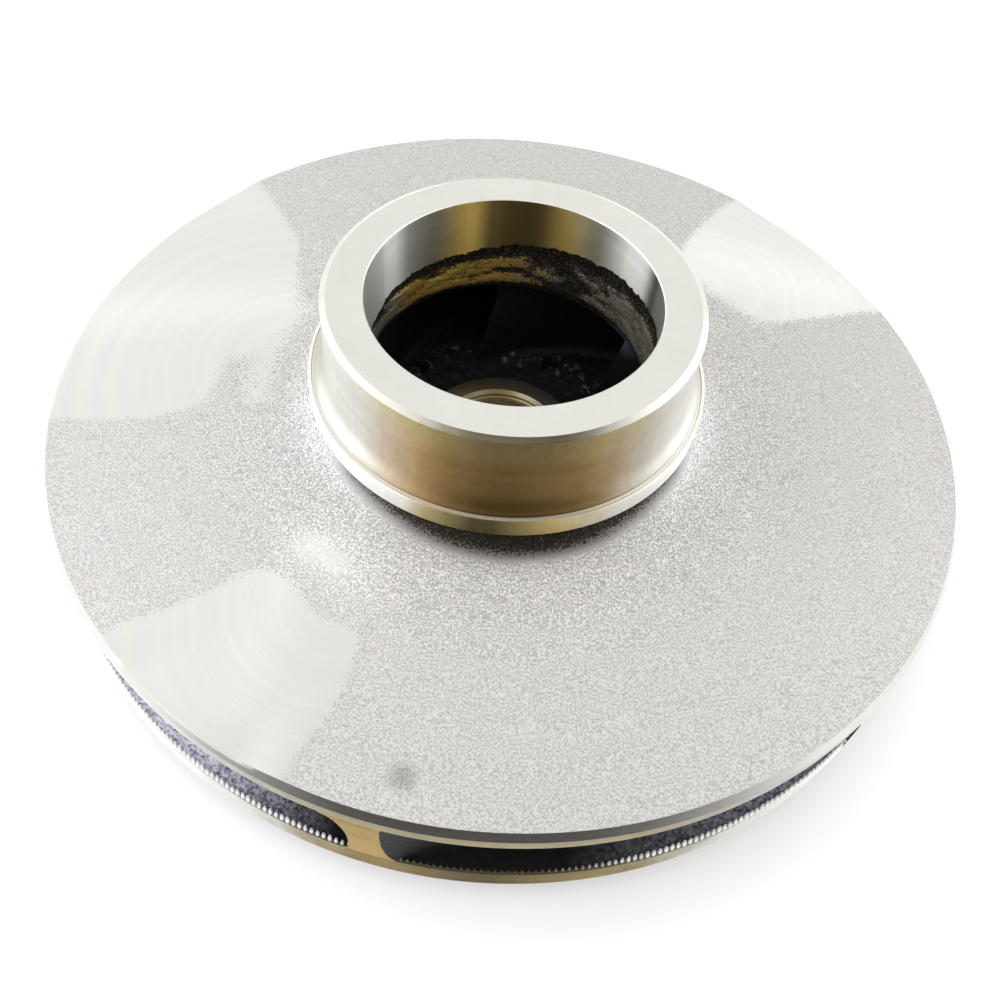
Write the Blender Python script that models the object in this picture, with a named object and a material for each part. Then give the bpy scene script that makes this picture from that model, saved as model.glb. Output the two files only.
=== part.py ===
"""Closed centrifugal impeller of a circulator pump, lying on its hub with the suction eye up.

Z is the shaft's axis and zero is the hub's rear face. The real impeller is one bronze casting,
turned at the eye ring, the rim and the hub. It is built here as the shapes that such a casting
is drawn from, with a thin seam between neighbours, so that the six passages stay open.
"""

import math

import bmesh
import bpy

# Driving dimensions in metres
OUTER_R = 0.0800
EYE_BORE_R = 0.0242
SHAFT_BORE_R = 0.0095
REAR_BOSS_HEIGHT = 0.0080
BACK_THICKNESS = 0.0049
OUTLET_WIDTH = 0.0112
FRONT_RIM_THICKNESS = 0.0041
EYE_RISE = 0.0242
SEAM = 0.0003
VANE_COUNT = 6

# Heights along the shaft
BACK_FLOOR = REAR_BOSS_HEIGHT + BACK_THICKNESS
SHROUD_EDGE = BACK_FLOOR + OUTLET_WIDTH
RIM_TOP = SHROUD_EDGE + FRONT_RIM_THICKNESS
EYE_TOP = RIM_TOP + EYE_RISE
HUB_TOP = BACK_FLOOR + 0.0053
RING_FOOT = RIM_TOP + 0.0052

# Suction neck: turned cylinder, cove and a lip that stands proud of the cast surface
RING_R = 0.0312
RING_CHAMFER_WIDTH = 0.0010
RING_CHAMFER_HEIGHT = 0.0005
LIP_R = 0.03407
LIP_HEIGHT = 0.0036
LIP_EDGE = 0.0002
COVE_R = 0.0028
BORE_EDGE = 0.0003

# Front shroud: a shallow cone that flares up to the neck outside and round the throat inside
RIM_CHAMFER_WIDTH = 0.0008
RIM_CHAMFER_HEIGHT = 0.0016
OUTSIDE_SLOPE = 0.052
OUTSIDE_FLARE_R = 0.0338
OUTSIDE_FLARE_LENGTH = 0.0035
INSIDE_SLOPE = 0.0844
INSIDE_FLARE_R = EYE_BORE_R + 0.0004
INSIDE_FLARE_LENGTH = 0.0040

# Hub with a counterbored shaft hole
HUB_R = 0.01685
HUB_NECK_R = 0.0146
COUNTERBORE_R = 0.0110
COUNTERBORE_DEPTH = 0.0014
HUB_CHAMFER = 0.0008
HUB_EDGE = 0.0004
FLOOR_FILLET = 0.0028

# Balance holes through the back shroud, one in each passage
BALANCE_HOLE_R = 0.00185
BALANCE_CIRCLE_R = 0.0270
BALANCE_AZIMUTH = math.radians(7.4)

# Vanes: backward-swept, thin at the nose and at the outlet
VANE_NOSE_R = 0.0248
VANE_NOSE_RAKE = 0.0020
VANE_NOSE_LENGTH = 0.0030
VANE_NOSE_AZIMUTH = math.radians(39.5)
INLET_ANGLE = math.radians(28.0)
OUTLET_ANGLE = math.radians(23.0)
NOSE_THICKNESS = 0.0026
BODY_THICKNESS = 0.0032
TIP_THICKNESS = 0.0019

# Facets
RIM_SEGMENTS = 72
HUB_SEGMENTS = 48
HOLE_SEGMENTS = 16
SURFACE_STATIONS = 9
VANE_STATIONS = 18
VANE_LEVELS = 2


def clear_scene():
    for obj in list(bpy.data.objects):
        bpy.data.objects.remove(obj, do_unlink=True)


def metal(name, colour, roughness):
    material = bpy.data.materials.new(name)
    material.use_nodes = True
    shader = material.node_tree.nodes["Principled BSDF"]
    shader.inputs["Base Color"].default_value = (*colour, 1.0)
    shader.inputs["Metallic"].default_value = 1.0
    shader.inputs["Roughness"].default_value = roughness
    return material


def add_object(name, bm, material):
    """Closes a bmesh into a smooth-shaded object with its sharp edges kept."""
    bmesh.ops.recalc_face_normals(bm, faces=bm.faces)
    mesh = bpy.data.meshes.new(name)
    bm.to_mesh(mesh)
    bm.free()
    mesh.shade_smooth()
    mesh.set_sharp_from_angle(angle=math.radians(30))
    mesh.materials.append(material)
    obj = bpy.data.objects.new(name, mesh)
    bpy.context.scene.collection.objects.link(obj)
    return obj


def turned(name, profile, segments, material):
    """Turns a closed outline of (radius, height) points about the shaft."""
    bm = bmesh.new()
    points = [bm.verts.new((radius, 0.0, height)) for radius, height in profile]
    edges = [bm.edges.new(pair) for pair in zip(points, points[1:] + points[:1])]
    bmesh.ops.spin(
        bm,
        geom=points + edges,
        axis=(0.0, 0.0, 1.0),
        cent=(0.0, 0.0, 0.0),
        angle=math.tau,
        steps=segments,
        use_duplicate=False,
    )
    bmesh.ops.remove_doubles(bm, verts=bm.verts, dist=1e-6)
    return add_object(name, bm, material)


def arc(centre, radius, start, end, steps):
    """Points (radius, height) along an arc, with its angles in degrees."""
    angles = [math.radians(start + (end - start) * i / steps) for i in range(steps + 1)]
    return [
        (centre[0] + radius * math.cos(a), centre[1] + radius * math.sin(a))
        for a in angles
    ]


def outside_height(radius):
    """Height of the front shroud's outer surface."""
    edge_r = OUTER_R - RIM_CHAMFER_WIDTH
    cone = RIM_TOP + OUTSIDE_SLOPE * (edge_r - radius)
    cone_at_neck = RIM_TOP + OUTSIDE_SLOPE * (edge_r - OUTSIDE_FLARE_R)
    flare = RING_FOOT - SEAM - cone_at_neck
    fade = math.exp(-(radius - OUTSIDE_FLARE_R) / OUTSIDE_FLARE_LENGTH)
    return cone + flare * fade


def inside_height(radius):
    """Height of the front shroud's inner surface, which roofs the passages."""
    cone = SHROUD_EDGE + INSIDE_SLOPE * (OUTER_R - radius)
    cone_at_throat = SHROUD_EDGE + INSIDE_SLOPE * (OUTER_R - INSIDE_FLARE_R)
    flare = RING_FOOT - SEAM - cone_at_throat
    fade = math.exp(-(radius - INSIDE_FLARE_R) / INSIDE_FLARE_LENGTH)
    return cone + flare * fade


def radii_between(inner, outer, count):
    """Radii that crowd towards the inner end, where the surfaces flare."""
    return [inner + (outer - inner) * (i / count) ** 1.8 for i in range(count + 1)]


def eye_ring(material):
    cove_centre = (LIP_R, RING_FOOT + LIP_HEIGHT + COVE_R)
    profile = [
        (EYE_BORE_R, RING_FOOT),
        (LIP_R, RING_FOOT),
        (LIP_R, RING_FOOT + LIP_HEIGHT - LIP_EDGE),
        (LIP_R - LIP_EDGE, RING_FOOT + LIP_HEIGHT),
    ]
    profile += arc(cove_centre, COVE_R, 255, 190, 3)
    profile += [
        (RING_R, cove_centre[1]),
        (RING_R, EYE_TOP - RING_CHAMFER_HEIGHT),
        (RING_R - RING_CHAMFER_WIDTH, EYE_TOP),
        (EYE_BORE_R + BORE_EDGE, EYE_TOP),
        (EYE_BORE_R, EYE_TOP - BORE_EDGE),
    ]
    return turned("eye_ring", profile, RIM_SEGMENTS, material)


def front_shroud(material):
    edge_r = OUTER_R - RIM_CHAMFER_WIDTH
    outside = radii_between(OUTSIDE_FLARE_R, edge_r, SURFACE_STATIONS)
    inside = radii_between(INSIDE_FLARE_R, OUTER_R, SURFACE_STATIONS)
    profile = [(r, outside_height(r)) for r in outside]
    profile += [(OUTER_R, RIM_TOP - RIM_CHAMFER_HEIGHT)]
    profile += [(r, inside_height(r)) for r in reversed(inside)]
    return turned("front_shroud", profile, RIM_SEGMENTS, material)


def back_shroud(material):
    seat_r = HUB_R + SEAM
    rim_edge = 0.0004
    profile = [
        (seat_r, REAR_BOSS_HEIGHT),
        (OUTER_R - rim_edge, REAR_BOSS_HEIGHT),
        (OUTER_R, REAR_BOSS_HEIGHT + rim_edge),
        (OUTER_R, BACK_FLOOR - rim_edge),
        (OUTER_R - rim_edge, BACK_FLOOR),
        (seat_r + FLOOR_FILLET, BACK_FLOOR),
        (seat_r + FLOOR_FILLET * 0.3, BACK_FLOOR + FLOOR_FILLET * 0.15),
        (seat_r, BACK_FLOOR + FLOOR_FILLET * 0.4),
    ]
    disc = turned("back_shroud", profile, RIM_SEGMENTS, material)

    bm = bmesh.new()
    for index in range(VANE_COUNT):
        azimuth = BALANCE_AZIMUTH + math.tau * index / VANE_COUNT
        made = bmesh.ops.create_cone(
            bm,
            cap_ends=True,
            segments=HOLE_SEGMENTS,
            radius1=BALANCE_HOLE_R,
            radius2=BALANCE_HOLE_R,
            depth=BACK_THICKNESS * 2,
        )
        centre = (
            BALANCE_CIRCLE_R * math.cos(azimuth),
            BALANCE_CIRCLE_R * math.sin(azimuth),
            REAR_BOSS_HEIGHT + BACK_THICKNESS / 2,
        )
        bmesh.ops.translate(bm, verts=made["verts"], vec=centre)
    drill = add_object("balance_drill", bm, material)
    drill.hide_render = True
    drill.display_type = "WIRE"
    holes = disc.modifiers.new("balance_holes", "BOOLEAN")
    holes.operation = "DIFFERENCE"
    holes.object = drill
    return disc


def hub(material):
    profile = [
        (SHAFT_BORE_R, HUB_EDGE),
        (SHAFT_BORE_R + HUB_EDGE, 0.0),
        (HUB_R - HUB_CHAMFER, 0.0),
        (HUB_R, HUB_CHAMFER),
        (HUB_R, BACK_FLOOR + FLOOR_FILLET * 0.5),
        (HUB_NECK_R + 0.0011, BACK_FLOOR + FLOOR_FILLET),
        (HUB_NECK_R + 0.0004, HUB_TOP - HUB_EDGE),
        (HUB_NECK_R, HUB_TOP),
        (COUNTERBORE_R + HUB_EDGE, HUB_TOP),
        (COUNTERBORE_R, HUB_TOP - HUB_EDGE),
        (COUNTERBORE_R, HUB_TOP - COUNTERBORE_DEPTH),
        (SHAFT_BORE_R, HUB_TOP - COUNTERBORE_DEPTH),
    ]
    return turned("hub", profile, HUB_SEGMENTS, material)


def blade_angle_terms():
    """Cotangents of the blade's angle at the nose and at the outlet."""
    return 1 / math.tan(INLET_ANGLE), 1 / math.tan(OUTLET_ANGLE)


def camber_azimuth(radius):
    """Azimuth of the vane's centre line, which falls as the radius grows."""
    inlet, outlet = blade_angle_terms()
    travel = math.log(radius / VANE_NOSE_R)
    whole = math.log(OUTER_R / VANE_NOSE_R)
    turn = inlet * travel + (outlet - inlet) * travel**2 / (2 * whole)
    return VANE_NOSE_AZIMUTH - turn


def half_width(radius, nose_r):
    """Half the vane's width round the shaft, in radians."""
    inlet, outlet = blade_angle_terms()
    share = math.log(radius / VANE_NOSE_R) / math.log(OUTER_R / VANE_NOSE_R)
    angle = math.atan(1 / (inlet + (outlet - inlet) * share))
    if share < 0.4:
        thickness = NOSE_THICKNESS + (BODY_THICKNESS - NOSE_THICKNESS) * share / 0.4
    else:
        thickness = BODY_THICKNESS + (TIP_THICKNESS - BODY_THICKNESS) * (share - 0.4) / 0.6
    past_nose = min((radius - nose_r) / VANE_NOSE_LENGTH, 1.0)
    rounding = max(math.sqrt(1 - (1 - past_nose) ** 2), 0.3)
    return rounding * thickness / (2 * radius * math.sin(angle))


def vane(index, material):
    """One vane, from the floor of the passages to their roof, flush with the outside radius."""
    turn = math.tau * index / VANE_COUNT
    low = BACK_FLOOR + SEAM
    bm = bmesh.new()
    loops = []
    for station in range(VANE_STATIONS + 1):
        along = (station / VANE_STATIONS) ** 1.5
        sides = ([], [])
        for level in range(VANE_LEVELS + 1):
            up = level / VANE_LEVELS
            nose_r = VANE_NOSE_R + VANE_NOSE_RAKE * up
            radius = nose_r + (OUTER_R - nose_r) * along
            height = low + (inside_height(radius) - SEAM - low) * up
            centre = turn + camber_azimuth(radius)
            half = half_width(radius, nose_r)
            for side, azimuth in zip(sides, (centre + half, centre - half)):
                place = (radius * math.cos(azimuth), radius * math.sin(azimuth), height)
                side.append(bm.verts.new(place))
        loops.append(sides[0] + sides[1][::-1])
    for here, there in zip(loops, loops[1:]):
        for i in range(len(here)):
            j = (i + 1) % len(here)
            bm.faces.new((here[i], here[j], there[j], there[i]))
    bm.faces.new(loops[0])
    bm.faces.new(loops[-1])
    return add_object(f"vane_{index + 1}", bm, material)


def build():
    clear_scene()
    turned_bronze = metal("turned_bronze", (0.72, 0.62, 0.40), 0.25)
    cast_bronze = metal("shot_blasted_bronze", (0.55, 0.53, 0.50), 0.55)
    rough_bronze = metal("as_cast_bronze", (0.30, 0.27, 0.22), 0.65)
    eye_ring(turned_bronze)
    front_shroud(cast_bronze)
    back_shroud(cast_bronze)
    hub(turned_bronze)
    for index in range(VANE_COUNT):
        vane(index, rough_bronze)


build()
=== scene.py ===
import math

import bmesh
import bpy
import numpy as np
from mathutils import Matrix, Vector


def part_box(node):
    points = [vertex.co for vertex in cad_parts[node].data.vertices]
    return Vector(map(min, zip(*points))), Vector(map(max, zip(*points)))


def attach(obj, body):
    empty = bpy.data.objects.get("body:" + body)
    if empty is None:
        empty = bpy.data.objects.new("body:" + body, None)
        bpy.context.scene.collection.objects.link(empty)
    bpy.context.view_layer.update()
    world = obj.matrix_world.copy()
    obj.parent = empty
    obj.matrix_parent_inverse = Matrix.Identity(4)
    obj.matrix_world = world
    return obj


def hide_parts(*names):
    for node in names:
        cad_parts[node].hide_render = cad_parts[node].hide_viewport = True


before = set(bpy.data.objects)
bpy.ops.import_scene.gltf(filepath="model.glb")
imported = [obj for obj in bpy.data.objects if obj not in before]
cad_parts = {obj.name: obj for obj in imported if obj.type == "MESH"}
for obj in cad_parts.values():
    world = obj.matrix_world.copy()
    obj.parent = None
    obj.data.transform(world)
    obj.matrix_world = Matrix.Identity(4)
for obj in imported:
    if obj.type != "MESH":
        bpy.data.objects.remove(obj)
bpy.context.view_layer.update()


# Back shroud
# The flat disc that carries the vanes and floors the passages, sand cast in bronze in one piece with
# them. Its rim is turned, its rear is left as blasted, and six balance holes are drilled through it.

SEAM = 0.0003
RIM_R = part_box("back_shroud")[1].x
REAR_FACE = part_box("back_shroud")[0].z
PASSAGE_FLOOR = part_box("vane_1")[0].z - SEAM
HUB_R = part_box("hub")[1].x
RIM_EDGE = 0.0003
FLOOR_FILLET = 0.0030
FLOOR_FILLET_STEPS = 9
FILLET_OVERLAP = 1.25
SMOOTH_EDGE = 0.003
FLOOR_SWELLS = ((0.00008, 0.0022, 11), (0.00005, 0.0011, 12))
BALANCE_HOLE_R = 0.00185
BALANCE_CIRCLE_R = 0.0270
BALANCE_AZIMUTH = math.radians(7.4)
DRILL_LENGTH = 0.010
VANE_COUNT = 6
BACK_AZIMUTHS = 600

# What a node's mode is called, by its kind.
NODE_MODES = {"Math": "operation", "VectorMath": "operation", "Mix": "data_type",
              "RandomValue": "data_type", "MapRange": "interpolation_type", "TexNoise": "noise_dimensions"}


def linear(code):
    """Linear colour of an sRGB hex code."""
    shares = [int(code[i : i + 2], 16) / 255 for i in (1, 3, 5)]
    return [s / 12.92 if s <= 0.04045 else ((s + 0.055) / 1.055) ** 2.4 for s in shares] + [1.0]


def join(tree, node, sockets):
    """Gives a node's sockets their values or what feeds them. A list starts at the first socket. A
    node given as a source stands for its first output in use, and a hex code for its colour."""
    for socket, given in sockets.items() if isinstance(sockets, dict) else enumerate(sockets):
        if isinstance(given, str):
            given = linear(given)
        if isinstance(given, bpy.types.Node):
            given = next(output for output in given.outputs if output.enabled)
        if isinstance(given, bpy.types.NodeSocket):
            tree.links.new(given, node.inputs[socket])
        else:
            node.inputs[socket].default_value = given


def add(tree, kind, sockets=(), **settings):
    """Adds a node, with its settings and what its sockets take. Its mode may follow its kind."""
    kind, *mode = kind.split()
    families = ("ShaderNode", "GeometryNode", "FunctionNode", "Node")
    made = tree.nodes.new(next(family + kind for family in families if hasattr(bpy.types, family + kind)))
    for name, value in [(NODE_MODES[kind], word) for word in mode] + list(settings.items()):
        setattr(made, name, value)
    join(tree, made, sockets)
    return made


def new_finish(name, metallic):
    """A material with its node tree, its shader and the place on the piece."""
    material = bpy.data.materials.new(name)
    material.use_nodes = True
    tree = material.node_tree
    shader = tree.nodes["Principled BSDF"]
    shader.inputs["Metallic"].default_value = metallic
    return material, tree, shader, add(tree, "TexCoord").outputs["Object"]


def from_shaft(tree, place):
    """A place's coordinates, the arm that reaches it from the shaft, and the arm's length."""
    arm = add(tree, "VectorMath MULTIPLY", [place, (1, 1, 0)])
    radius = add(tree, "VectorMath LENGTH", [arm])
    return add(tree, "SeparateXYZ", [place]).outputs, arm, radius


def lumps(points, *layers, waves=28):
    """Smooth random swellings. Each layer has its height, about how wide they are, and a seed."""
    field = 0
    for height, size, seed in layers:
        rng = np.random.default_rng(seed)
        ways = rng.normal(size=(waves, 3))
        ways *= (math.tau / (size * rng.uniform(0.8, 1.6, waves)) / np.linalg.norm(ways, axis=1))[:, None]
        heave = np.cos(points @ ways.T + rng.uniform(0, math.tau, waves)).sum(-1)
        field = field + height * (heave * math.sqrt(2 / waves))
    return field


def run(start, end, count, finish):
    """Evenly spaced points of a turned profile, from one radius and height to another."""
    radii, heights = (np.linspace(a, b, count) for a, b in zip(start, end))
    return [(r, z, finish) for r, z in zip(radii, heights)]


def rings(radii, heights, azimuths):
    """Points of a turned skin: one ring for each pair of radius and height."""
    turn = np.linspace(0, math.tau, azimuths, endpoint=False)
    radii = np.broadcast_to(np.asarray(radii, float).T, (azimuths, len(radii))).T
    heights = np.broadcast_to(np.asarray(heights, float).T, (azimuths, len(heights))).T
    return np.stack([radii * np.cos(turn), radii * np.sin(turn), heights], -1)


def new_object(name, data):
    """An object in the scene that shows this mesh, light or camera."""
    obj = bpy.data.objects.new(name, data)
    bpy.context.scene.collection.objects.link(obj)
    return obj


def closed_skin(name, points, finishes, materials):
    """A closed skin round the shaft. A ring's finish is that of the faces from it to the next ring."""
    count, azimuths = points.shape[:2]
    here = np.arange(count * azimuths).reshape(count, azimuths)
    there = np.roll(here, -1, axis=0)
    faces = np.stack([here, np.roll(here, -1, axis=1), np.roll(there, -1, axis=1), there], -1)
    mesh = bpy.data.meshes.new(name)
    mesh.from_pydata(points.reshape(-1, 3).tolist(), [], faces.reshape(-1, 4).tolist())
    mesh.polygons.foreach_set("material_index", np.repeat(finishes, azimuths).astype(np.int32))
    for material in materials:
        mesh.materials.append(material)
    return new_object(name, mesh)


def finish_mesh(obj, sharp=30):
    """Points the faces outwards and keeps the turned corners crisp."""
    bm = bmesh.new()
    bm.from_mesh(obj.data)
    bmesh.ops.recalc_face_normals(bm, faces=bm.faces)
    bm.to_mesh(obj.data)
    bm.free()
    obj.data.shade_smooth()
    obj.data.set_sharp_from_angle(angle=math.radians(sharp))


def settle(obj):
    """Makes what an object's modifiers give its plain mesh."""
    bpy.context.view_layer.update()
    shaped = bpy.data.meshes.new_from_object(obj.evaluated_get(bpy.context.evaluated_depsgraph_get()))
    obj.modifiers.clear()
    obj.data = shaped


# Real feed marks are finer than this, and are drawn as coarse as they need to show. Noise mostly
# lies between the two values of its span.
FEED_PITCH = 0.00022
FEED_DEPTH = 0.00003
FEED_BAND = 0.00143
STAIN_SIZE = 0.00833
CHATTER_WIDTH = 0.002667
NOISE_SPAN = (0.3, 0.7)
DRAWN_OUT = 0.9
ACROSS_THE_FEED = 0.25
FACE_ROUGHNESS = 0.24
EDGE_LEAN = (0.20, 0.36)
FACE_LEAN = (0.93, 0.98)

# A colour ramp's tones end at 1, so it holds them as shares of the brightest.
RAMP_TOP = 1.4
# The painted columns' tone between those given.
PLAIN_PAINTED_COLUMN = 0.6


def turned_metal(name, gold, pale, side_sheen_from, edge=None, face=None, gloss=(0.40, 0.46), foot=None,
                 front=None, columns=None, metallic=1.0):
    """Turned bronze with a fine feed mark all round, which draws reflections out along the shaft. A
    colour is a pair, the ends of a faint stain. Walls turn from gold at the front and back to pale
    at the sides, between two given shares of the way aside, which is a painted reflection, and edges
    from their own colour in the same way. An edge or face that is left out looks like the wall.
    Foot: painted shade toward the foot, given as the gold there, the heights where it starts and is
    whole, and how much sooner the sides turn pale. Front: painted shade, the wall's tone there and at
    the back, the shares of the way aside between which it fades, and how far to the left it lies.
    Columns: painted reflections and highlights, the wall's tone at some azimuths."""
    material, tree, shader, place = new_finish(name, metallic)
    split, arm, radius = from_shaft(tree, place)
    unit = add(tree, "VectorMath NORMALIZE", [arm])
    aside = add(tree, "SeparateXYZ", [unit]).outputs["X"]
    across = add(tree, "Math ABSOLUTE", [aside])
    cloudy = add(tree, "TexNoise",
                 {"Vector": place, "Scale": 1 / STAIN_SIZE, "Detail": 7.0, "Roughness": 0.75})
    stain = add(tree, "MapRange", [cloudy, *NOISE_SPAN])
    pairs = {"gold": gold, "pale": pale, "edge": edge, "face": face, "foot": foot and foot[0]}
    colours = {part: add(tree, "Mix RGBA", {0: stain, 6: pair[0], 7: pair[1]})
               for part, pair in pairs.items() if pair}

    uneven = add(tree, "Math MULTIPLY_ADD", [stain, 0.12, across])
    straw = colours["gold"]
    # Painted shade: the wall darkens and turns browner toward its foot.
    if foot:
        _, start, whole, sooner = foot
        down = add(tree, "MapRange", [split["Z"], start, whole])
        uneven = add(tree, "Math MULTIPLY_ADD", [down, sooner, uneven])
        straw = add(tree, "Mix RGBA", {0: down, 6: straw, 7: colours["foot"]})
    # Painted reflection: gold where the wall faces front or back, pale where it faces the sides.
    painted_side_sheen = add(tree, "MapRange SMOOTHSTEP", [uneven, *side_sheen_from])
    wall = add(tree, "Mix RGBA", {0: painted_side_sheen, 6: straw, 7: colours["pale"]})
    chatter = add(tree, "TexNoise", {"Vector": unit, "Scale": RIM_R / CHATTER_WIDTH, "Detail": 3.0})
    streaked = add(tree, "MapRange", [chatter, *NOISE_SPAN, 0.96, 1.04])
    wall = add(tree, "VectorMath SCALE", {0: wall, 3: streaked})
    # Painted shade: the wall is darker at the front and back.
    if front:
        tone, start, end, left = front
        moved = add(tree, "Math ADD", [aside, left])
        off_front = add(tree, "Math ABSOLUTE", [moved])
        dimmed = add(tree, "MapRange", [off_front, start, end, tone])
        wall = add(tree, "VectorMath SCALE", {0: wall, 3: dimmed})
    # Painted reflections and highlights: bright and dark columns by azimuth.
    if columns:
        around = add(tree, "Math ARCTAN2", [split["Y"], split["X"]])
        share = add(tree, "Math MULTIPLY_ADD", [around, 1 / math.tau, 0.5])
        ramp = add(tree, "ValToRGB", [share])
        ramp.color_ramp.interpolation = "CARDINAL"
        for stop in ramp.color_ramp.elements:
            stop.color = (PLAIN_PAINTED_COLUMN / RAMP_TOP,) * 3 + (1,)
        for azimuth, tone in columns:
            ramp.color_ramp.elements.new(azimuth / 360 + 0.5).color = (tone / RAMP_TOP,) * 3 + (1,)
        wall = add(tree, "VectorMath MULTIPLY", [wall, ramp])
        wall = add(tree, "VectorMath SCALE", {0: wall, 3: RAMP_TOP})

    slope = add(tree, "SeparateXYZ", [place.node.outputs["Normal"]]).outputs["Z"]
    lean = add(tree, "Math ABSOLUTE", [slope])
    faced = add(tree, "MapRange", [lean, *FACE_LEAN])
    colour, edged = wall, faced
    # Edges take the painted reflection too: their own colour at front and back, pale at the sides.
    if edge:
        edged = add(tree, "MapRange", [lean, *EDGE_LEAN])
        painted_edge_sheen = add(tree, "Mix RGBA", {0: painted_side_sheen, 6: colours["edge"], 7: colours["pale"]})
        colour = add(tree, "Mix RGBA", {0: edged, 6: wall, 7: painted_edge_sheen})
    if face:
        colour = add(tree, "Mix RGBA", {0: faced, 6: colour, 7: colours["face"]})
    feed = add(tree, "Math ADD", [radius, split["Z"]])
    marks = add(tree, "TexNoise 1D", {"W": feed, "Scale": 1 / FEED_PITCH, "Detail": 3.0})
    bands = add(tree, "TexNoise 1D", {"W": feed, "Scale": 1 / FEED_BAND, "Detail": 2.0})
    shine = add(tree, "MapRange", [bands, *NOISE_SPAN, *gloss])
    roughness = add(tree, "Mix", {0: edged, 2: shine, 3: FACE_ROUGHNESS})
    drawn = add(tree, "MapRange", [edged, 0, 1, DRAWN_OUT, 0.0])
    tangent = add(tree, "Tangent", direction_type="RADIAL", axis="Z")
    bump = add(tree, "Bump", {"Height": marks, "Strength": 0.2, "Distance": FEED_DEPTH})
    join(tree, shader, {"Base Color": colour, "Roughness": roughness, "Anisotropic": drawn,
                        "Anisotropic Rotation": ACROSS_THE_FEED, "Tangent": tangent, "Normal": bump})
    return material


# Turned rim bronze: straw gold at front and back and pale toward the sides, which is painted reflection, with
# a neutral chamfer.
rim_bronze = turned_metal(
    "turned_rim_bronze", gold=("#C6BC98", "#D5CAA8"), pale=("#CECDC8", "#D8D7D3"),
    edge=("#C0BFBD", "#CECDCA"), face=("#D2D1C8", "#DAD9D0"), side_sheen_from=(0.26, 0.60))

# Turned back rim bronze: dull olive brown at front and back and nearly white to the sides, a painted
# reflection, with painted shade darkening the front and back further.
back_rim_bronze = turned_metal(
    "turned_back_rim_bronze", gold=("#9A8654", "#B4A06C"), pale=("#E6E5DE", "#EEEDE8"),
    edge=("#A8A48E", "#B8B49E"), face=("#C2BDA8", "#D2CEBC"), side_sheen_from=(0.26, 0.56),
    front=(0.44, 0.02, 0.18, 0.0))

# As-cast bronze inside the passages: black casting skin. Near the rim at the left and right it is
# painted light, blue-grey with sharp grains, where the side light reaches in. Scale lies in grey
# crusts round the balance holes, and one vane's shoulder carries a painted highlight, a blue-grey
# patch with a bright glint, where it shows through the eye.
CAST_GRAIN = 0.00055
CAST_GRAIN_DEPTH = 0.0002
CAST_PATCH = 0.00455
CRUMB_SIZE = 0.00192
PAINTED_LIGHT_R = (0.070, 0.084)
PAINTED_LIGHT_WANDER = 0.016
PAINTED_LIGHT_LEFT = (-0.022, -0.042)
PAINTED_LIGHT_RIGHT = (0.012, 0.050)
PAINTED_SPARKLE_LEFT = (-0.036, -0.062)
CRUST_WIDTH = (0.0040, 0.0010)
CRUST_TOP = (PASSAGE_FLOOR + 0.0012, PASSAGE_FLOOR + 0.0006)
PAINTED_VANE_GLINT_PLACE = (0.0222, 0.0146, 0.0312)
PAINTED_VANE_PATCH_R = (0.0058, 0.0025)
PAINTED_VANE_GLINT_R = (0.0014, 0.0006)

cast_bronze, tree, shader, place = new_finish("as_cast_bronze", 0.35)
split, _, radius = from_shaft(tree, place)
grain = add(tree, "TexNoise", {"Vector": place, "Scale": 1 / CAST_GRAIN, "Detail": 3.0, "Roughness": 0.6})
skin = add(tree, "Mix RGBA", {0: grain, 6: "#0D0C11", 7: "#262120"})
# Painted light: more bright grains toward the left.
painted_sparkle = add(tree, "MapRange", [split["X"], *PAINTED_SPARKLE_LEFT, 0, 0.12])
caught = add(tree, "Math ADD", [grain, painted_sparkle])
grit = add(tree, "MapRange", [caught, 0.36, 0.64])
# Painted light: blue-grey near the rim at the left and right, where the side light reaches in.
painted_lit_floor = add(tree, "Mix RGBA", {0: grit, 6: "#5A587E", 7: "#F6F6FC"})
patchy = add(tree, "TexNoise", {"Vector": place, "Scale": 1 / CAST_PATCH, "Detail": 4.0})
wander = add(tree, "Math MULTIPLY_ADD", [patchy, PAINTED_LIGHT_WANDER, radius])
outer = add(tree, "MapRange SMOOTHSTEP", [wander, *PAINTED_LIGHT_R])
left = add(tree, "MapRange", [split["X"], *PAINTED_LIGHT_LEFT])
right = add(tree, "MapRange", [split["X"], *PAINTED_LIGHT_RIGHT, 0, 0.55])
sides = add(tree, "Math ADD", [left, right])
painted_light_share = add(tree, "Math MULTIPLY", [outer, sides])
colour = add(tree, "Mix RGBA", {0: painted_light_share, 6: skin, 7: painted_lit_floor})

off_circle = add(tree, "Math SUBTRACT", [radius, BALANCE_CIRCLE_R])
circle_gap = add(tree, "Math ABSOLUTE", [off_circle])
near_circle = add(tree, "MapRange", [circle_gap, *CRUST_WIDTH])
crumbs = add(tree, "TexNoise", {"Vector": place, "Scale": 1 / CRUMB_SIZE, "Detail": 4.0})
crusted = add(tree, "MapRange", [crumbs, 0.57, 0.72])
on_floor = add(tree, "MapRange", [split["Z"], *CRUST_TOP])
crust = add(tree, "Math MULTIPLY", [near_circle, crusted])
crust = add(tree, "Math MULTIPLY", [crust, on_floor])
colour = add(tree, "Mix RGBA", {0: crust, 6: colour, 7: "#8E8C84"})

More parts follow.
